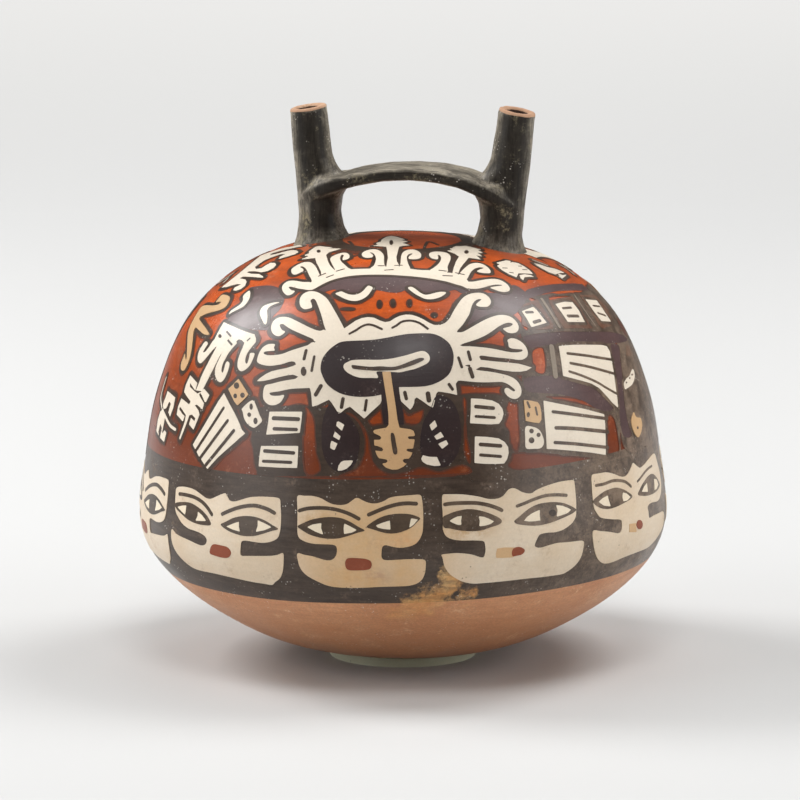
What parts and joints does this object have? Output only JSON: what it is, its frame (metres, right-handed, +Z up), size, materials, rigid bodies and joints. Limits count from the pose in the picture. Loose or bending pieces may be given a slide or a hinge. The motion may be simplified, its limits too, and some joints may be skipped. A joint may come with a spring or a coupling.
{
  "type": "double spout and bridge bottle",
  "caption": "Round closed ceramic bottle with two upright spouts joined by a strap bridge, painted with slip figures and a band of heads, standing in a low support ring.",
  "frame": {"origin": "centre of the support ring's underside, on the surface that the bottle and its ring stand on", "axes": "+Z up through the body's axis, +X towards the right-hand spout, -Y towards the painted figure's front"},
  "size_m": [0.1716, 0.172, 0.18],
  "materials": {
    "bare_clay": "matte",
    "burnished_terracotta": "satin",
    "brown_black_slip": "satin",
    "red_slip": "satin",
    "cream_slip": "satin",
    "buff_slip": "satin",
    "purple_grey_slip": "satin",
    "charcoal_slip": "satin",
    "ring_finish": "matte"
  },
  "bodies": {
    "stand": {"support_ring": "ring_finish"},
    "bottle": {"bowl_bottom": "bare_clay", "base_bowl": "bare_clay", "lower_wall": "bare_clay", "waist_wall": "bare_clay", "shoulder_wall": "bare_clay", "upper_wall": "bare_clay", "crown_cap": "bare_clay", "left_spout": "charcoal_slip", "right_spout": "charcoal_slip", "left_spout_collar": "charcoal_slip", "right_spout_collar": "charcoal_slip", "left_bridge_web": "charcoal_slip", "right_bridge_web": "charcoal_slip", "bridge_strap": "charcoal_slip", "base_slip": "burnished_terracotta", "band_slip": "brown_black_slip", "shoulder_slip": "red_slip", "head_panels": "cream_slip"}
  },
  "joints": [
    {"name": "bottle_lift", "type": "slide", "parent": "stand", "child": "bottle", "axis": [0, 0, 1], "range_m": [0, 0.04]}
  ]
}
